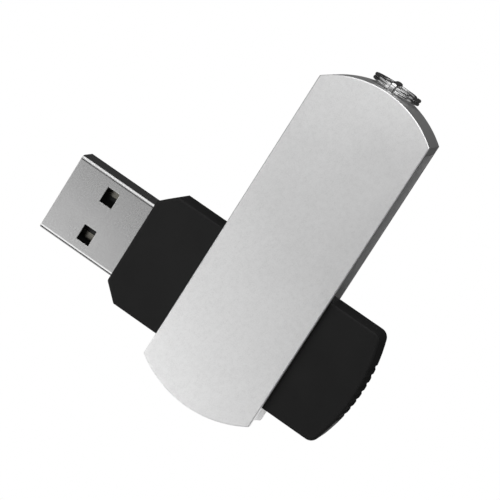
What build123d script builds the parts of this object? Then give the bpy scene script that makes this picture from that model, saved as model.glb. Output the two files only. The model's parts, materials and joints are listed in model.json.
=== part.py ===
from build123d import *
from math import cos, radians, sin, sqrt
import os

# USB flash drive whose metal cover swivels on the body, with a split ring on the cover.
#
# The origin is the centre of the plug's mouth. +Y points out of the mouth, +Z out of the
# front face, and +X at the ring. The cover stands a quarter turn from the body at rest.
# Lengths are millimetres.

# Plug
plug_width = 12.0
plug_height = 4.5
plug_corner = 0.6
plug_sheet = 0.3
plug_exposed = 12.3
plug_length = 16.0
plug_seam_width = 0.12
plug_seam_depth = 0.12
window_width = 2.4
window_length = 2.0
window_from_mouth = 6.4
window_spread = 6.2
leg_length = 3.2
leg_low = -1.6
leg_high = 0.7

# Tongue and contacts
tongue_clearance = 0.1
tongue_recess = 0.5
tongue_top = -0.05
tongue_length = 15.3
tongue_block_start = 9.6
tongue_tip_bevel = 0.2
contact_width = 1.0
contact_low = -0.15
contact_high = 0.05
contact_end = 18.3
power_contact_start = 1.2
data_contact_start = 2.2
power_contact_offset = 3.5
data_contact_offset = 1.0
contact_tip_drop = 0.15
contact_tip_length = 0.6

# Swivel
pivot_from_mouth = 31.2
boss_radius = 4.0
boss_clearance = 0.06
boss_height = 0.4
pocket_depth = 0.4

# Body
body_width = 17.7
body_thickness = 5.4
body_end_radius = 26.0
body_end_from_pivot = 18.7
body_end_corner = 1.4
body_nose_width = 13.2
body_nose_length = 2.45
body_nose_corner = 0.5
body_edge_round = 0.4
body_floor = 0.7
body_wall = 1.0
cavity_end_wall = 2.2
cavity_corner = 0.8
plug_stop_gap = 0.1
mouth_clearance = 0.05
grip_count = 7
grip_pitch = 1.32
grip_radius = 0.4
grip_depth = 0.2

# Posts that locate the board and join the two body shells
post_radius = 0.6
post_top = 1.5
socket_clearance = 0.03
socket_depth = 1.7
socket_board_gap = 0.05
collar_radius = 1.15
board_hole_radius = 0.7
post_spread = 13.2
post_rows = [21.0, 46.2]

# Circuit board
board_width = 15.0
board_start = 16.2
board_end = 47.4
board_top = contact_low
board_thickness = 0.8
board_corner = 0.8
leg_slot_width = 0.5
leg_slot_length = 3.2

# Chips and small components
flash_width = 12.0
flash_length = 18.4
flash_height = 1.0
flash_bevel = 0.12
flash_standoff = 0.08
flash_centre = 34.4
flash_lead_count = 24
flash_lead_pitch = 0.5
flash_lead_width = 0.22
flash_lead_sheet = 0.15
flash_lead_reach = 0.8
controller_size = 7.0
controller_height = 0.85
controller_centre = 27.5
controller_pad_count = 12
controller_pad_pitch = 0.5
controller_pad_width = 0.25
controller_pad_length = 0.5
controller_pad_height = 0.03
crystal_length = 5.0
crystal_width = 3.2
crystal_base_height = 0.5
crystal_lid_height = 0.4
crystal_lid_inset = 0.3
crystal_base_corner = 0.3
crystal_lid_corner = 0.5
crystal_centre = 36.0
crystal_capacitor_offset = 3.9
crystal_capacitor_width = 0.5
crystal_capacitor_length = 1.0
crystal_capacitor_height = 0.5
decoupling_spread_x = 11.2
decoupling_spread_y = 5.0
decoupling_width = 0.8
decoupling_length = 1.6
decoupling_height = 0.8
resistor_count = 3
resistor_pitch = 2.0
resistor_width = 0.8
resistor_length = 1.6
resistor_height = 0.45
resistor_centre = 20.9
supply_capacitor_length = 3.2
supply_capacitor_width = 1.6
supply_capacitor_height = 1.2
supply_capacitor_offset = 3.2
regulator_length = 2.9
regulator_width = 1.3
regulator_height = 1.0
regulator_standoff = 0.1
regulator_offset = -3.0
regulator_lead_width = 0.4
regulator_lead_length = 1.1
regulator_lead_height = 0.35
regulator_lead_pitch = 1.9
regulator_lead_reach = 0.8
supply_row = 21.2

# Cover
cover_width = 17.8
cover_thickness = 7.3
cover_plate = 0.85
cover_wall = 0.9
cover_ring_side = 33.7
cover_open_side = 11.8
cover_ring_rise = 3.1
cover_open_rise = 2.7
cover_edge_bevel = 0.12

# Bail that holds the split ring
bail_width = 0.95
bail_strap = 0.4
bail_leg_strap = 0.45
bail_gap = 1.1
bail_inside = 3.5
bail_bend = 0.7
bail_head_length = 0.3
bail_head_width = 1.2
bail_head_height = 0.8
bail_head_gap = 0.02
bail_head_corner = 0.2

# Split ring
ring_outside = 7.3
ring_strip = 0.6
ring_turn = 0.42
ring_turn_gap = 0.06
ring_edge_round = 0.13
ring_fold = 2.5
ring_hinge_height = 1.1
ring_jog_angle = 128.0
ring_jog_half = 14.0

pivot_y = -pivot_from_mouth
body_front_y = -plug_exposed
body_end_y = pivot_y - body_end_from_pivot
half_body = body_thickness / 2
cavity_height = half_body - body_floor
cavity_width = body_width - 2 * body_wall
cavity_start = plug_length + plug_stop_gap
cavity_end = -body_end_y - cavity_end_wall
board_bottom = board_top - board_thickness
half_cover = cover_thickness / 2
half_gap = half_cover - cover_plate
cover_apex = cover_ring_side + cover_ring_rise
bail_leg_spread = bail_inside + bail_leg_strap
post_points = [(side * post_spread / 2, -row) for row in post_rows for side in (-1, 1)]


def arc_radius(chord, rise):
    """Radius of the arc that rises so far above a chord."""
    return (chord**2 / 4 + rise**2) / (2 * rise)


# ---------------------------------------------------------------- plug shell and tongue

with BuildPart() as plug_shell:
    with BuildSketch(Plane.XZ):
        RectangleRounded(plug_width, plug_height, plug_corner)
        RectangleRounded(
            plug_width - 2 * plug_sheet,
            plug_height - 2 * plug_sheet,
            plug_corner - plug_sheet,
            mode=Mode.SUBTRACT,
        )
    extrude(amount=plug_length)
    # Two latch windows through each wide face.
    with BuildSketch(Plane.XY.offset(-plug_height)):
        with Locations((0, -window_from_mouth)):
            with GridLocations(window_spread, 0, 2, 1):
                Rectangle(window_width, window_length)
    extrude(amount=2 * plug_height, mode=Mode.SUBTRACT)
    # The folded sheet meets in a seam along the back.
    with BuildSketch(Plane.XY.offset(-plug_height / 2)):
        with Locations((0, -plug_length / 2)):
            Rectangle(plug_seam_width, plug_length)
    extrude(amount=plug_seam_depth, mode=Mode.SUBTRACT)
    # Solder legs run back from the narrow sides into the board's slots.
    with BuildSketch(Plane.XZ.offset(plug_length)):
        with Locations((0, (leg_low + leg_high) / 2)):
            with GridLocations(plug_width - plug_sheet, 0, 2, 1):
                Rectangle(plug_sheet, leg_high - leg_low)
    extrude(amount=leg_length)

tongue_width = plug_width - 2 * plug_sheet - 2 * tongue_clearance
tongue_bottom = -plug_height / 2 + plug_sheet + tongue_clearance

# Pin order from +X: supply, data minus, data plus, ground.
contact_layout = {
    "contact_power": (power_contact_offset, power_contact_start),
    "contact_data_minus": (data_contact_offset, data_contact_start),
    "contact_data_plus": (-data_contact_offset, data_contact_start),
    "contact_ground": (-power_contact_offset, power_contact_start),
}

with BuildPart() as plug_tongue:
    with BuildSketch(Plane.XZ.offset(tongue_recess)):
        with Locations((0, (tongue_bottom + tongue_top) / 2)):
            Rectangle(tongue_width, tongue_top - tongue_bottom)
    extrude(amount=tongue_length)
    chamfer(plug_tongue.faces().sort_by(Axis.Y)[-1].edges(), length=tongue_tip_bevel)
    # The block behind the mouth fills the shell and holds the contacts.
    with BuildSketch(Plane.XZ.offset(tongue_block_start)):
        with Locations((0, (tongue_top - tongue_bottom) / 2)):
            Rectangle(tongue_width, -tongue_top - tongue_bottom)
    extrude(amount=tongue_recess + tongue_length - tongue_block_start)
    # One channel for each contact.
    for offset_x, start in contact_layout.values():
        with BuildSketch(Plane.XZ.offset(start)):
            with Locations((offset_x, (contact_low + contact_high) / 2)):
                Rectangle(contact_width, contact_high - contact_low)
        extrude(amount=plug_length, mode=Mode.SUBTRACT)


def make_contact(offset_x, start):
    """Spring strip that lies in its channel and ends on the board's pad."""
    with BuildPart() as contact:
        with BuildSketch(Plane.YZ.offset(offset_x)):
            with BuildLine():
                Polyline(
                    (-start, contact_low),
                    (-start, contact_high - contact_tip_drop),
                    (-start - contact_tip_length, contact_high),
                    (-contact_end, contact_high),
                    (-contact_end, contact_low),
                    close=True,
                )
            make_face()
        extrude(amount=contact_width / 2, both=True)
    return contact


# ---------------------------------------------------------------- body shells

with BuildSketch() as body_outline:
    with BuildLine():
        corner_y = body_end_y + body_end_radius - sqrt(body_end_radius**2 - body_width**2 / 4)
        Polyline(
            (-body_width / 2, corner_y),
            (-body_width / 2, body_front_y - body_nose_length),
            (-body_nose_width / 2, body_front_y),
            (body_nose_width / 2, body_front_y),
            (body_width / 2, body_front_y - body_nose_length),
            (body_width / 2, corner_y),
        )
        ThreePointArc((body_width / 2, corner_y), (0, body_end_y), (-body_width / 2, corner_y))
    make_face()
    fillet(body_outline.vertices().group_by(Axis.Y)[0], body_end_corner)
    fillet(body_outline.vertices().group_by(Axis.Y)[-1], body_nose_corner)

# Finger grips are shallow grooves along the far end.
grip_points = []
for grip in range(grip_count):
    grip_x = (grip - (grip_count - 1) / 2) * grip_pitch
    surface_y = body_end_y + body_end_radius - sqrt(body_end_radius**2 - grip_x**2)
    grip_points.append((grip_x, surface_y - grip_radius + grip_depth))

with BuildSketch() as cavity_outline:
    with Locations((0, -(cavity_start + cavity_end) / 2)):
        RectangleRounded(cavity_width, cavity_end - cavity_start, cavity_corner)

with BuildSketch() as passage_outline:
    with Locations((0, -(plug_exposed + cavity_start) / 2)):
        Rectangle(plug_width + 2 * mouth_clearance, cavity_start - plug_exposed)

with BuildSketch() as grip_outline:
    with Locations(grip_points):
        Circle(grip_radius)

with BuildPart() as body_front_shell:
    extrude(body_outline.sketch, amount=half_body)
    fillet(body_front_shell.faces().sort_by(Axis.Z)[-1].edges(), body_edge_round)
    extrude(cavity_outline.sketch, amount=cavity_height, mode=Mode.SUBTRACT)
    extrude(passage_outline.sketch, amount=plug_height / 2 + mouth_clearance, mode=Mode.SUBTRACT)
    extrude(grip_outline.sketch, amount=half_body, mode=Mode.SUBTRACT)
    # Round boss that turns in the cover's front pocket.
    with BuildSketch(Plane.XY.offset(half_body)):
        with Locations((0, pivot_y)):
            Circle(boss_radius)
    extrude(amount=boss_height)
    # Sockets for the posts, closed at the top, end just above the board.
    socket_start = board_top + socket_board_gap
    with BuildSketch(Plane.XY.offset(socket_start)):
        with Locations(post_points):
            Circle(collar_radius)
    extrude(amount=cavity_height - socket_start)
    with BuildSketch(Plane.XY.offset(socket_start)):
        with Locations(post_points):
            Circle(post_radius + socket_clearance)
    extrude(amount=socket_depth - socket_start, mode=Mode.SUBTRACT)

with BuildPart() as body_back_shell:
    extrude(body_outline.sketch, amount=-half_body)
    fillet(body_back_shell.faces().sort_by(Axis.Z)[0].edges(), body_edge_round)
    extrude(cavity_outline.sketch, amount=-cavity_height, mode=Mode.SUBTRACT)
    extrude(passage_outline.sketch, amount=-plug_height / 2 - mouth_clearance, mode=Mode.SUBTRACT)
    extrude(grip_outline.sketch, amount=-half_body, mode=Mode.SUBTRACT)
    with BuildSketch(Plane.XY.offset(-half_body)):
        with Locations((0, pivot_y)):
            Circle(boss_radius)
    extrude(amount=-boss_height)
    # Shoulders carry the board, and the posts go through it.
    with BuildSketch(Plane.XY.offset(-cavity_height)):
        with Locations(post_points):
            Circle(collar_radius)
    extrude(amount=cavity_height + board_bottom)
    with BuildSketch(Plane.XY.offset(board_bottom)):
        with Locations(post_points):
            Circle(post_radius)
    extrude(amount=post_top - board_bottom)

# ---------------------------------------------------------------- circuit board and components

with BuildPart() as circuit_board:
    with BuildSketch(Plane.XY.offset(board_bottom)):
        with Locations((0, -(board_start + board_end) / 2)):
            RectangleRounded(board_width, board_end - board_start, board_corner)
        with Locations(post_points):
            Circle(board_hole_radius, mode=Mode.SUBTRACT)
        with Locations((0, -board_start - leg_slot_length / 2)):
            with GridLocations(plug_width - plug_sheet, 0, 2, 1):
                Rectangle(leg_slot_width, leg_slot_length, mode=Mode.SUBTRACT)
    extrude(amount=board_thickness)

with BuildPart() as flash_memory_chip:
    flash_bottom = board_top + flash_standoff
    with BuildSketch(Plane.XY.offset(flash_bottom)):
        with Locations((0, -flash_centre)):
            Rectangle(flash_width, flash_length)
    extrude(amount=flash_height)
    chamfer(flash_memory_chip.faces().sort_by(Axis.Z)[-1].edges(), length=flash_bevel)
    # Gull-wing leads along both short ends.
    first_lead = -(flash_lead_count - 1) / 2 * flash_lead_pitch
    lead_row = [first_lead + lead * flash_lead_pitch for lead in range(flash_lead_count)]
    lead_level = flash_bottom + flash_height / 2
    for end in (-1, 1):
        base_y = -flash_centre + end * flash_length / 2
        knee_y = base_y + end * flash_lead_reach / 2
        inner_knee_y = knee_y - end * flash_lead_sheet
        foot_y = base_y + end * flash_lead_reach
        with BuildSketch(*[Plane.YZ.offset(x) for x in lead_row]):
            with BuildLine():
                Polyline(
                    (base_y, lead_level),
                    (knee_y, lead_level),
                    (knee_y, board_top + flash_lead_sheet),
                    (foot_y, board_top + flash_lead_sheet),
                    (foot_y, board_top),
                    (inner_knee_y, board_top),
                    (inner_knee_y, lead_level - flash_lead_sheet),
                    (base_y, lead_level - flash_lead_sheet),
                    close=True,
                )
            make_face()
        extrude(amount=flash_lead_width / 2, both=True)

with BuildPart() as controller_chip:
    with BuildSketch(Plane.XY.offset(board_bottom - controller_pad_height)):
        with Locations((0, -controller_centre)):
            Rectangle(controller_size, controller_size)
    extrude(amount=-controller_height + controller_pad_height)
    pad_row = controller_size - controller_pad_length
    with BuildSketch(Plane.XY.offset(board_bottom)):
        with Locations((0, -controller_centre)):
            with GridLocations(controller_pad_pitch, pad_row, controller_pad_count, 2):
                Rectangle(controller_pad_width, controller_pad_length)
            with GridLocations(pad_row, controller_pad_pitch, 2, controller_pad_count):
                Rectangle(controller_pad_length, controller_pad_width)
    extrude(amount=-controller_pad_height)

with BuildPart() as crystal:
    with BuildSketch(Plane.XY.offset(board_bottom)):
        with Locations((0, -crystal_centre)):
            RectangleRounded(crystal_length, crystal_width, crystal_base_corner)
    extrude(amount=-crystal_base_height)
    lid_length = crystal_length - 2 * crystal_lid_inset
    lid_width = crystal_width - 2 * crystal_lid_inset
    with BuildSketch(Plane.XY.offset(board_bottom - crystal_base_height)):
        with Locations((0, -crystal_centre)):
            RectangleRounded(lid_length, lid_width, crystal_lid_corner)
    extrude(amount=-crystal_lid_height)

with BuildPart() as crystal_capacitors:
    with BuildSketch(Plane.XY.offset(board_bottom)):
        with Locations((0, -crystal_centre)):
            with GridLocations(2 * crystal_capacitor_offset, 0, 2, 1):
                Rectangle(crystal_capacitor_width, crystal_capacitor_length)
    extrude(amount=-crystal_capacitor_height)

with BuildPart() as decoupling_capacitors:
    with BuildSketch(Plane.XY.offset(board_bottom)):
        with Locations((0, -controller_centre)):
            with GridLocations(decoupling_spread_x, decoupling_spread_y, 2, 2):
                Rectangle(decoupling_width, decoupling_length)
    extrude(amount=-decoupling_height)

with BuildPart() as resistors:
    with BuildSketch(Plane.XY.offset(board_bottom)):
        with Locations((0, -resistor_centre)):
            with GridLocations(resistor_pitch, 0, resistor_count, 1):
                Rectangle(resistor_width, resistor_length)
    extrude(amount=-resistor_height)

with BuildPart() as supply_capacitor:
    with BuildSketch(Plane.XY.offset(board_top)):
        with Locations((supply_capacitor_offset, -supply_row)):
            Rectangle(supply_capacitor_length, supply_capacitor_width)
    extrude(amount=supply_capacitor_height)

with BuildPart() as voltage_regulator:
    with BuildSketch(Plane.XY.offset(board_top + regulator_standoff)):
        with Locations((regulator_offset, -supply_row)):
            Rectangle(regulator_length, regulator_width)
    extrude(amount=regulator_height)
    # Two leads on one side and one on the other.
    with BuildSketch(Plane.XY.offset(board_top)):
        with Locations((regulator_offset, -supply_row + regulator_lead_reach)):
            with GridLocations(regulator_lead_pitch, 0, 2, 1):
                Rectangle(regulator_lead_width, regulator_lead_length)
        with Locations((regulator_offset, -supply_row - regulator_lead_reach)):
            Rectangle(regulator_lead_width, regulator_lead_length)
    extrude(amount=regulator_lead_height)

# ---------------------------------------------------------------- cover

ring_arc_radius = arc_radius(cover_width, cover_ring_rise)
ring_arc_x = cover_apex - ring_arc_radius
inner_arc_radius = ring_arc_radius - cover_wall
wall_start = ring_arc_x + sqrt(inner_arc_radius**2 - cover_width**2 / 4)
cover_low_y = pivot_y - cover_width / 2
cover_high_y = pivot_y + cover_width / 2

with BuildSketch() as cover_outline:
    with BuildLine():
        Line((-cover_open_side, cover_low_y), (cover_ring_side, cover_low_y))
        ThreePointArc(
            (cover_ring_side, cover_low_y),
            (cover_apex, pivot_y),
            (cover_ring_side, cover_high_y),
        )
        Line((cover_ring_side, cover_high_y), (-cover_open_side, cover_high_y))
        ThreePointArc(
            (-cover_open_side, cover_high_y),
            (-cover_open_side - cover_open_rise, pivot_y),
            (-cover_open_side, cover_low_y),
        )
    make_face()

# The gap is open along both long sides and at the far end, and closed by the wall at the ring.
with BuildSketch() as gap_outline:
    with Locations((ring_arc_x, pivot_y)):
        Circle(inner_arc_radius)
    with Locations((wall_start / 2 - cover_width / 2, pivot_y)):
        Rectangle(wall_start + cover_width, 2 * inner_arc_radius)

with BuildPart() as cover:
    extrude(cover_outline.sketch, amount=half_cover, both=True)
    chamfer(cover.faces().filter_by(Axis.Z).edges(), length=cover_edge_bevel)
    extrude(gap_outline.sketch, amount=half_gap, both=True, mode=Mode.SUBTRACT)
    # Blind pockets for the body's bosses.
    with BuildSketch():
        with Locations((0, pivot_y)):
            Circle(boss_radius + boss_clearance)
    extrude(amount=half_gap + pocket_depth, both=True, mode=Mode.SUBTRACT)
    # Slots for the bail's legs.
    with BuildSketch(Plane.YZ.offset(cover_apex - 2 * cover_wall)):
        with Locations((pivot_y, 0)):
            with GridLocations(0, bail_leg_spread, 1, 2):
                Rectangle(bail_width, bail_leg_strap)
    extrude(amount=3 * cover_wall, mode=Mode.SUBTRACT)

# ---------------------------------------------------------------- bail and split ring

bail_top = cover_apex + bail_gap + bail_strap
bail_inner_face = cover_apex - cover_wall - bail_head_gap
bail_outside = bail_inside + 2 * bail_leg_strap
bail_hollow_top = bail_top - bail_strap

with BuildSketch(Plane.XZ.offset(-pivot_y)) as bail_hollow:
    with Locations(((bail_inner_face + bail_hollow_top) / 2, 0)):
        Rectangle(bail_hollow_top - bail_inner_face, bail_inside)
    fillet(bail_hollow.vertices().group_by(Axis.X)[-1], bail_bend - bail_strap)

with BuildPart() as bail:
    with BuildSketch(Plane.XZ.offset(-pivot_y)) as bail_profile:
        with Locations(((bail_inner_face + bail_top) / 2, 0)):
            Rectangle(bail_top - bail_inner_face, bail_outside)
        fillet(bail_profile.vertices().group_by(Axis.X)[-1], bail_bend)
    extrude(amount=bail_width / 2, both=True)
    extrude(bail_hollow.sketch, amount=bail_width / 2, both=True, mode=Mode.SUBTRACT)
    # Peened heads inside the wall.
    with BuildSketch(Plane.YZ.offset(bail_inner_face)):
        with Locations((pivot_y, 0)):
            with GridLocations(0, bail_leg_spread, 1, 2):
                RectangleRounded(bail_head_width, bail_head_height, bail_head_corner)
    extrude(amount=-bail_head_length)

ring_radius = (ring_outside - ring_strip) / 2
ring_hinge = Vector(cover_apex + bail_gap / 2, pivot_y, ring_hinge_height)
to_hinge = Vector(sin(radians(ring_fold)), 0, cos(radians(ring_fold)))
ring_normal = Vector(cos(radians(ring_fold)), 0, -sin(radians(ring_fold)))
ring_plane = Plane(origin=ring_hinge - to_hinge * ring_radius, x_dir=to_hinge, z_dir=ring_normal)
turn_offset = (ring_turn + ring_turn_gap) / 2


def ring_section_plane(angle, height):
    """Plane across the ring's strip, at an angle from the bail, facing along the strip."""
    turn = radians(angle)
    outward = ring_plane.x_dir * cos(turn) + ring_plane.y_dir * sin(turn)
    along = ring_plane.y_dir * cos(turn) - ring_plane.x_dir * sin(turn)
    centre = ring_plane.origin + outward * ring_radius + ring_normal * height
    return Plane(origin=centre, x_dir=outward, z_dir=along)


with BuildPart() as split_ring:
    # Two flat turns, and a jog that leads from one to the other.
    for height in (-turn_offset, turn_offset):
        with BuildSketch(ring_section_plane(ring_jog_angle + ring_jog_half, height)):
            RectangleRounded(ring_strip, ring_turn, ring_edge_round)
        revolve(axis=Axis(ring_plane.origin, ring_normal), revolution_arc=360 - 2 * ring_jog_half)
    for step in (-1, -0.5, 0, 0.5, 1):
        rise = turn_offset * sin(step * radians(90))
        with BuildSketch(ring_section_plane(ring_jog_angle + step * ring_jog_half, rise)):
            RectangleRounded(ring_strip, ring_turn, ring_edge_round)
    loft()

# ---------------------------------------------------------------- files

nodes = {
    "body_front_shell": body_front_shell,
    "body_back_shell": body_back_shell,
    "plug_shell": plug_shell,
    "plug_tongue": plug_tongue,
    "circuit_board": circuit_board,
    "flash_memory_chip": flash_memory_chip,
    "controller_chip": controller_chip,
    "crystal": crystal,
    "crystal_capacitors": crystal_capacitors,
    "decoupling_capacitors": decoupling_capacitors,
    "resistors": resistors,
    "supply_capacitor": supply_capacitor,
    "voltage_regulator": voltage_regulator,
    "cover": cover,
    "bail": bail,
    "split_ring": split_ring,
}
for contact_name, (offset_x, start) in contact_layout.items():
    nodes[contact_name] = make_contact(offset_x, start)

os.makedirs("parts", exist_ok=True)
for name, built in nodes.items():
    built.part.label = name
    export_step(built.part, f"parts/{name}.step")
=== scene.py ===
import json
from math import cos, pi, radians, sin

import bmesh
import bpy
from mathutils import Euler, Matrix, Vector


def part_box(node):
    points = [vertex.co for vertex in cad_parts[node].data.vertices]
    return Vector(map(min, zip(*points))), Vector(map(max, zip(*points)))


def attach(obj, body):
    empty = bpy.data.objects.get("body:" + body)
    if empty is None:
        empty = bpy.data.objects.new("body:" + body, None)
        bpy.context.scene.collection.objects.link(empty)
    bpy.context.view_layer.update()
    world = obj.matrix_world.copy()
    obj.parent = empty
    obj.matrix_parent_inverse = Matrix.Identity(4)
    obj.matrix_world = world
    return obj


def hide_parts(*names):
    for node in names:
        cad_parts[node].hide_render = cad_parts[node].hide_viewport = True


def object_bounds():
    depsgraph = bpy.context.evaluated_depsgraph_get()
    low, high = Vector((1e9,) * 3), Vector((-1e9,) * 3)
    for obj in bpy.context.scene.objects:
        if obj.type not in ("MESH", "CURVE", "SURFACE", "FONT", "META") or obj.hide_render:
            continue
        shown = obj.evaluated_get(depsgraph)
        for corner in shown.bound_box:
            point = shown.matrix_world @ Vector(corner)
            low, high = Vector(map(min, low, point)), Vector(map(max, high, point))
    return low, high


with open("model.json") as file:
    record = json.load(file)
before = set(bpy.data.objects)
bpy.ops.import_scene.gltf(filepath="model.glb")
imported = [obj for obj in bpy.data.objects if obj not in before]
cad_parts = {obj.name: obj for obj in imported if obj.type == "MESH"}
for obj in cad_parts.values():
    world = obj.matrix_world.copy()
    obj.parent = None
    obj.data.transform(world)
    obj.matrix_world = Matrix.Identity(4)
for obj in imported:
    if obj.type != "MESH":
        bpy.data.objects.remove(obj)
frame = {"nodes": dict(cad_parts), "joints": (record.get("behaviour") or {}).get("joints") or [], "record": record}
cad_low, cad_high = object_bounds()

MM = 0.001

# Camera: where it stands from the cover's swivel, and how far it is turned about X, Y and Z.
CAMERA_FROM_SWIVEL_MM = (76.317, -51.888, 320.817)
CAMERA_TURN_DEG = (-4.5751, 14.8043, -56.9823)
LENS_MM = 175.11
SENSOR_MM = 36.0
CLIP_NEAR = 0.01
CLIP_FAR = 10.0

WORLD_GREY = 0.05
FLOOR_HALF_WIDTH = 3.0
FLOOR_BELOW_MM = 0.2
SHARP_ANGLE_DEG = 45

# Name, centre in mm, width and height in mm, the way it faces, and radiance.
# The panels overhead stop short of the ring end, so the plug and the cover fade towards it,
# and the strip over the ring end brings the cover up again there.
SOFTBOXES = (
    ("overhead_far", (-250, 310, 300), (405, 580), (0, 0, -1), 0.88),
    ("overhead_low", (-250, -140, 300), (405, 320), (0, 0, -1), 0.24),
    ("overhead_near", (-150, 110, 160), (160, 260), (0, 0, -1), 1.42),
    ("overhead_plug", (-51, 130, 160), (38, 210), (0, 0, -1), 0.29),
    ("overhead_ring", (55, -10, 90), (40, 120), (0, 0, -1), 1.4),
    ("ring_side", (420, -30, 95), (700, 190), (-1, 0, 0), 1.9),
    ("far_side", (0, 450, 110), (600, 260), (0, -1, 0), 0.5),
    ("far_high", (-60, 420, 420), (700, 460), (0, -1, -1), 0.31),
    ("ring_strip", (420, -30, 330), (700, 150), (-1, 0, -0.6), 3.0),
    ("near_side", (0, -450, 60), (600, 150), (0, 1, 0), 0.5),
    ("floor_glow", (-102, 10, -6.05), (190, 260), (0, 0, 1), 0.8),
)


# ---------------------------------------------------------------- node helpers


class Finish:
    """A material under construction, built round one Principled shader."""

    def __init__(self, name, **shader_values):
        self.material = bpy.data.materials.new(name)
        self.material.use_nodes = True
        self.tree = self.material.node_tree
        self.shader = self.tree.nodes["Principled BSDF"]
        for socket, value in shader_values.items():
            self.shader.inputs[socket.replace("_", " ")].default_value = value
        self.place = self.add("ShaderNodeTexCoord").outputs["Object"]

    def add(self, kind, inputs=None, **settings):
        """New node with its inputs fed and its settings set."""
        node = self.tree.nodes.new(kind)
        for name, value in settings.items():
            setattr(node, name, value)
        for name, value in (inputs or {}).items():
            self.feed(node.inputs[name], value)
        return node

    def feed(self, socket, value):
        """Links an output to the socket, or sets a plain value on it."""
        if isinstance(value, bpy.types.NodeSocket):
            self.tree.links.new(value, socket)
        else:
            socket.default_value = value

    def noise(self, size_mm, detail=2.0, stretch=(1, 1, 1)):
        """Grey noise whose blotches are about size_mm across, stretched along the axes."""
        scaled = self.add(
            "ShaderNodeMapping", {"Vector": self.place, "Scale": [1 / s for s in stretch]}
        )
        made = self.add(
            "ShaderNodeTexNoise",
            {"Vector": scaled.outputs["Vector"], "Scale": 1 / (size_mm * MM), "Detail": detail},
        )
        return made.outputs["Fac"]

    def ranged(self, value, low, high, from_low=0.3, from_high=0.7):
        """The value moved from one range to another, and held inside it."""
        made = self.add(
            "ShaderNodeMapRange",
            {"Value": value, "From Min": from_low, "From Max": from_high, "To Min": low, "To Max": high},
        )
        return made.outputs["Result"]

    def math(self, operation, first, second):
        """Result of a two-value calculation."""
        made = self.add("ShaderNodeMath", operation=operation)
        self.feed(made.inputs[0], first)
        self.feed(made.inputs[1], second)
        return made.outputs["Value"]

    def mixed(self, share, first, second):
        """Colour between the first and the second, by the share."""
        made = self.add("ShaderNodeMix", data_type="RGBA")
        self.feed(made.inputs["Factor"], share)
        self.feed(made.inputs["A"], first)
        self.feed(made.inputs["B"], second)
        return made.outputs["Result"]

    def edges(self, radius_mm):
        """1 on sharp edges and 0 away from them."""
        rounded = self.add("ShaderNodeBevel", {"Radius": radius_mm * MM}, samples=4)
        flat = self.add("ShaderNodeNewGeometry").outputs["Normal"]
        agree = self.add("ShaderNodeVectorMath", operation="DOT_PRODUCT")
        self.feed(agree.inputs[0], rounded.outputs["Normal"])
        self.feed(agree.inputs[1], flat)
        return self.ranged(agree.outputs["Value"], 1.0, 0.0, from_low=0.8, from_high=0.99)

    def bump(self, height, depth_mm, strength=1.0, round_mm=0.05):
        """Surface relief, over edges shaded as if they were rounded."""
        rounded = self.add("ShaderNodeBevel", {"Radius": round_mm * MM}, samples=8)
        made = self.add(
            "ShaderNodeBump",
            {
                "Height": height,
                "Distance": depth_mm * MM,
                "Strength": strength,
                "Normal": rounded.outputs["Normal"],
            },
        )
        self.feed(self.shader.inputs["Normal"], made.outputs["Normal"])

    def colour(self, value):
        self.feed(self.shader.inputs["Base Color"], value)

    def roughness(self, value):
        self.feed(self.shader.inputs["Roughness"], value)


def grey(level, warm=0.0):
    """Grey of a level, with red raised and blue lowered by the warm share."""
    return (level * (1 + warm), level, level * (1 - warm), 1.0)


def satin_aluminium():
    """Bead-blasted and clear-anodised sheet."""
    m = Finish("satin_aluminium", Metallic=1.0)
    grain = m.noise(0.16, 3.0)
    mottle = m.noise(0.55, 3.0)
    cloud = m.noise(9.0, 2.0)
    wear_and_painted_highlight = m.edges(0.15)
    speckled = m.mixed(m.ranged(grain, 0, 1), grey(0.80), grey(0.90))
    mottled = m.mixed(m.ranged(mottle, 0, 0.6), speckled, grey(0.93))
    # Edges lighter in colour: partly edge wear, partly a painted highlight along the rims.
    m.colour(m.mixed(m.math("MULTIPLY", wear_and_painted_highlight, 0.5), mottled, grey(0.95)))
    m.roughness(m.math("SUBTRACT", m.ranged(cloud, 0.42, 0.47), m.math("MULTIPLY", wear_and_painted_highlight, 0.12)))
    m.bump(m.math("ADD", grain, mottle), depth_mm=0.012, strength=0.6)
    return m.material


def black_plastic():
    """Fine spark-eroded moulding texture."""
    m = Finish("black_plastic", Metallic=0.0, Specular_IOR_Level=0.1)
    grain = m.noise(0.09, 3.0)
    cloud = m.noise(6.0, 2.0)
    wear_and_painted_highlight = m.edges(0.12)
    base = m.mixed(m.ranged(cloud, 0, 1), grey(0.014), grey(0.0165))
    # Edges lighter in colour: partly edge wear, partly a painted highlight along the rounded edges.
    m.colour(m.mixed(m.math("MULTIPLY", wear_and_painted_highlight, 0.3), base, grey(0.03)))
    m.roughness(m.ranged(grain, 0.5, 0.64))
    m.bump(grain, depth_mm=0.01, strength=0.5, round_mm=0.3)
    return m.material


def plug_steel():
    """Bright rolled sheet with faint drawing marks along the plug."""
    m = Finish("plug_steel", Metallic=1.0)
    drawn = m.noise(0.08, 3.0, stretch=(1, 30, 1))
    grain = m.noise(0.25, 4.0)
    smudge = m.noise(4.0, 3.0)
    wear_and_painted_highlight = m.edges(0.1)
    speckled = m.mixed(m.ranged(grain, 0, 1), grey(0.38), grey(0.46))
    # Edges lighter in colour: partly edge wear, partly a painted highlight along the rounded edges.
    m.colour(m.mixed(m.math("MULTIPLY", wear_and_painted_highlight, 0.5), speckled, grey(0.7)))
    m.roughness(m.math("ADD", m.ranged(smudge, 0.20, 0.27), m.ranged(grain, -0.02, 0.03)))
    m.bump(m.math("ADD", drawn, grain), depth_mm=0.003, strength=0.07, round_mm=0.1)
    return m.material


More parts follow.
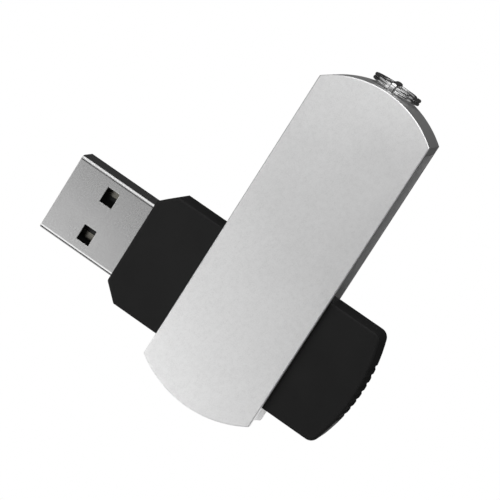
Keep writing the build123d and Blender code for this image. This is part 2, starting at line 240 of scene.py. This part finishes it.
def tongue_plastic():
    """Smooth moulded insulator with faint flow marks."""
    m = Finish("tongue_plastic", Metallic=0.0)
    flow = m.noise(0.6, 3.0, stretch=(1, 4, 1))
    m.colour(m.mixed(m.ranged(flow, 0, 1), grey(0.008), grey(0.014)))
    m.roughness(m.ranged(flow, 0.32, 0.42))
    m.bump(flow, depth_mm=0.01, strength=0.3)
    return m.material


def contact_gold():
    """Dulled thin plating on a spring strip, rubbed along its length."""
    m = Finish("contact_gold", Metallic=1.0)
    rubbed = m.noise(0.05, 3.0, stretch=(1, 20, 1))
    m.colour(m.mixed(m.ranged(rubbed, 0, 1), (0.13, 0.125, 0.11, 1), (0.22, 0.21, 0.185, 1)))
    m.roughness(m.ranged(rubbed, 0.18, 0.32))
    m.bump(rubbed, depth_mm=0.002, strength=0.4)
    return m.material


def board_green():
    """Solder mask over glass laminate, with its weave just showing."""
    m = Finish("board_green", Metallic=0.0, Coat_Weight=0.3)
    threads = {"Vector": m.place, "Scale": 900.0, "Distortion": 0.6}
    weave = m.add("ShaderNodeTexWave", threads)
    cross = m.add("ShaderNodeTexWave", threads, bands_direction="Y")
    cloth = m.math("MULTIPLY", weave.outputs["Fac"], cross.outputs["Fac"])
    m.colour(m.mixed(m.ranged(cloth, 0, 1, 0, 1), (0.010, 0.075, 0.028, 1), (0.016, 0.12, 0.045, 1)))
    m.roughness(m.ranged(m.noise(1.2), 0.28, 0.4))
    m.bump(cloth, depth_mm=0.01, strength=0.3)
    return m.material


def chip_black():
    """Moulded epoxy package."""
    m = Finish("chip_black", Metallic=0.0)
    grain = m.noise(0.06, 3.0)
    m.colour(m.mixed(m.ranged(grain, 0, 1), grey(0.018), grey(0.035)))
    m.roughness(m.ranged(grain, 0.5, 0.68))
    m.bump(grain, depth_mm=0.008, strength=0.6)
    return m.material


def ceramic():
    """Fired ceramic body."""
    m = Finish("ceramic", Metallic=0.0)
    grain = m.noise(0.1, 4.0)
    m.colour(m.mixed(m.ranged(grain, 0, 1), (0.36, 0.25, 0.15, 1), (0.52, 0.38, 0.24, 1)))
    m.roughness(m.ranged(grain, 0.35, 0.5))
    m.bump(grain, depth_mm=0.006, strength=0.4)
    return m.material


def can_metal():
    """Plated lid with rolling marks."""
    m = Finish("can_metal", Metallic=1.0)
    rolled = m.noise(0.05, 3.0, stretch=(20, 1, 1))
    m.colour(m.mixed(m.ranged(rolled, 0, 1), grey(0.62, 0.03), grey(0.78, 0.03)))
    m.roughness(m.ranged(rolled, 0.24, 0.36))
    m.bump(rolled, depth_mm=0.002, strength=0.4)
    return m.material


def bright_chrome():
    """Polished plating, slightly clouded."""
    m = Finish("bright_chrome", Metallic=1.0)
    cloud = m.noise(0.8, 3.0)
    m.colour(m.mixed(m.ranged(cloud, 0, 1), grey(0.56), grey(0.66)))
    m.roughness(m.ranged(cloud, 0.12, 0.19))
    m.bump(cloud, depth_mm=0.002, strength=0.1, round_mm=0.16)
    return m.material


MATERIALS = {
    "satin_aluminium": satin_aluminium(),
    "black_plastic": black_plastic(),
    "plug_steel": plug_steel(),
    "tongue_plastic": tongue_plastic(),
    "contact_gold": contact_gold(),
    "board_green": board_green(),
    "chip_black": chip_black(),
    "ceramic": ceramic(),
    "can_metal": can_metal(),
    "bright_chrome": bright_chrome(),
}


# ---------------------------------------------------------------- CAD nodes


def paint_nodes():
    """Gives each CAD node the material of its slot in the record."""
    for part in frame["record"]["subparts"]:
        node = frame["nodes"][part["node"]]
        node.data.materials.clear()
        node.data.materials.append(MATERIALS[part["material_slot"]])


paint_nodes()


# ---------------------------------------------------------------- bail and split ring


def rounded_profile(width, height, corner, steps=5, along_side=4):
    """Points round a rectangle with rounded corners, as pairs about its centre."""
    arcs = []
    for quarter, (across, along) in enumerate(((1, 1), (-1, 1), (-1, -1), (1, -1))):
        centre = Vector((across * (width / 2 - corner), along * (height / 2 - corner)))
        turns = [(quarter + step / steps) * pi / 2 for step in range(steps + 1)]
        arcs.append([centre + Vector((cos(turn), sin(turn))) * corner for turn in turns])
    points = []
    for arc, following in zip(arcs, arcs[1:] + arcs[:1]):
        points += arc
        for step in range(1, along_side + 1):
            points.append(arc[-1].lerp(following[0], step / (along_side + 1)))
    return points


def skin(name, rows_of_sections, node, body):
    """Smooth mesh over each row of sections, closed at both ends, in place of a CAD node."""
    shape = bmesh.new()
    for sections in rows_of_sections:
        rings = [[shape.verts.new(point) for point in section] for section in sections]
        for ring, following in zip(rings, rings[1:]):
            for side in range(len(ring)):
                after = (side + 1) % len(ring)
                shape.faces.new((ring[side], ring[after], following[after], following[side]))
        shape.faces.new(rings[0][::-1])
        shape.faces.new(rings[-1])
    bmesh.ops.recalc_face_normals(shape, faces=shape.faces)
    mesh = bpy.data.meshes.new(name)
    shape.to_mesh(mesh)
    shape.free()
    for face in mesh.polygons:
        face.use_smooth = True
    mesh.set_sharp_from_angle(angle=radians(SHARP_ANGLE_DEG))
    mesh.materials.append(MATERIALS["bright_chrome"])
    piece = bpy.data.objects.new(name, mesh)
    bpy.context.scene.collection.objects.link(piece)
    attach(piece, body)
    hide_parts(node)


def make_split_ring():
    """Two flat turns a hair apart, and a jog from one to the other."""
    # Angles are in degrees from the bail.
    turn_gap = 0.06
    edge_round = 0.16
    jog_at = 128
    jog_half = 14
    angle_step = 3
    hole = next(m for m in frame["record"]["mounts"] if m["name"] == "key_ring")
    centre = Vector(hole["pos_m"])
    normal = Vector(hole["axis"]).normalized()
    to_bail = Vector((-normal.z, 0, normal.x))
    sideways = Vector((0, -1, 0))
    inside = hole["dims"]["r_mm"]
    low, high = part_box("split_ring")
    strip = (high.y - low.y) / 2 / MM - inside
    middle = inside + strip / 2
    turn = (hole["dims"]["length_mm"] - turn_gap) / 2
    offset = (turn + turn_gap) / 2
    profile = rounded_profile(strip, turn, edge_round)
    sections = []
    start, end = jog_at + jog_half, jog_at + 2 * 360 - jog_half
    for angle in range(start, end + 1, angle_step):
        share = max(-1, min(1, (angle - jog_at - 360) / jog_half))
        rise = offset * sin(share * pi / 2)
        outward = to_bail * cos(radians(angle)) + sideways * sin(radians(angle))
        sections.append(
            [centre + (outward * (middle + u) + normal * (rise + v)) * MM for u, v in profile]
        )
    skin("split_ring_turns", [sections], "split_ring", "ring")


def make_bail():
    """Bent strap with a crowned outside, and a peened head on each leg inside the wall."""
    width = 0.95
    thick = 0.42
    edge_round = 0.12
    crown = 0.1
    bend = 0.7
    bend_steps = 9
    leg_reach = 2.2
    head_width, head_height, head_length, head_round = 1.2, 0.8, 0.3, 0.18
    # How deep each section of a head lies, and its size.
    head_sections = ((0, 1), (0.15, 1), (0.24, 0.88), (head_length, 0.6))
    low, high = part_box("bail")
    top = high.x / MM
    foot = low.x / MM + head_length
    middle_y = (low.y + high.y) / 2 / MM
    radius = bend - thick / 2

    # Places along the middle of the strap, and the angle from +Z that its outside faces.
    stations = [((foot, leg_reach - thick / 2), 0)]
    for corner, start in (((top - bend, leg_reach - bend), 0), ((top - bend, bend - leg_reach), 90)):
        for step in range(bend_steps + 1):
            angle = start + 90 * step / bend_steps
            x = corner[0] + radius * sin(radians(angle))
            z = corner[1] + radius * cos(radians(angle))
            stations.append(((x, z), angle))
    stations.append(((foot, thick / 2 - leg_reach), 180))

    profile = rounded_profile(width, thick, edge_round)
    strap = []
    for (x, z), angle in stations:
        out_x, out_z = sin(radians(angle)), cos(radians(angle))
        section = []
        for u, v in profile:
            drop = crown * (2 * u / width) ** 2 if v > 0 else 0
            section.append(
                Vector((x + out_x * (v - drop), middle_y + u, z + out_z * (v - drop))) * MM
            )
        strap.append(section)

    rows = [strap]
    for side in (-1, 1):
        leg_z = side * (leg_reach - thick / 2)
        head = []
        for depth, scale in head_sections:
            outline = rounded_profile(head_width * scale, head_height * scale, head_round * scale)
            head.append([Vector((foot - depth, middle_y + u, leg_z + v)) * MM for u, v in outline])
        rows.append(head)
    skin("bail_strap", rows, "bail", "cover")


make_split_ring()
make_bail()


# ---------------------------------------------------------------- camera, lights and floor


def make_camera():
    """Long lens that looks at the front of the cover."""
    data = bpy.data.cameras.new("camera")
    data.sensor_width = SENSOR_MM
    data.lens = LENS_MM
    data.clip_start = CLIP_NEAR
    data.clip_end = CLIP_FAR
    camera = bpy.data.objects.new("camera", data)
    bpy.context.scene.collection.objects.link(camera)
    swivel = next(j for j in frame["joints"] if j["name"] == "cover_swivel")
    location = Vector(swivel["pos_m"]) + Vector(CAMERA_FROM_SWIVEL_MM) * MM
    rotation = Euler([radians(angle) for angle in CAMERA_TURN_DEG]).to_matrix()
    camera.matrix_world = Matrix.Translation(location) @ rotation.to_4x4()
    bpy.context.scene.camera = camera


def softbox(name, centre_mm, size_mm, facing, radiance):
    """Rectangular panel that shines evenly along one direction."""
    data = bpy.data.lights.new(name, "AREA")
    data.shape = "RECTANGLE"
    data.size = size_mm[0] * MM
    data.size_y = size_mm[1] * MM
    data.energy = radiance * pi * data.size * data.size_y
    light = bpy.data.objects.new(name, data)
    bpy.context.scene.collection.objects.link(light)
    light.visible_camera = False
    light.location = Vector(centre_mm) * MM
    light.rotation_mode = "QUATERNION"
    light.rotation_quaternion = Vector(facing).to_track_quat("-Z", "Y")


def make_world():
    """Faint even light from all round."""
    world = bpy.data.worlds.new("studio")
    bpy.context.scene.world = world
    world.use_nodes = True
    background = world.node_tree.nodes["Background"]
    background.inputs["Color"].default_value = grey(WORLD_GREY)
    background.inputs["Strength"].default_value = 1.0


def make_floor():
    """Wide white floor just under the object, which lights nothing."""
    height = cad_low.z - FLOOR_BELOW_MM * MM
    corners = [
        (x * FLOOR_HALF_WIDTH, y * FLOOR_HALF_WIDTH, height)
        for x, y in ((-1, -1), (1, -1), (1, 1), (-1, 1))
    ]
    mesh = bpy.data.meshes.new("floor")
    mesh.from_pydata(corners, [], [(0, 1, 2, 3)])
    floor = bpy.data.objects.new("floor", mesh)
    bpy.context.scene.collection.objects.link(floor)
    white = Finish(
        "floor_white",
        Base_Color=grey(0.0),
        Emission_Color=grey(1.0),
        Emission_Strength=1.0,
        Specular_IOR_Level=0.0,
    )
    mesh.materials.append(white.material)
    floor.visible_glossy = False
    floor.visible_diffuse = False


make_camera()
make_world()
make_floor()
for panel in SOFTBOXES:
    softbox(*panel)
bpy.context.scene.view_settings.view_transform = "Standard"
bpy.context.scene.view_settings.look = "None"
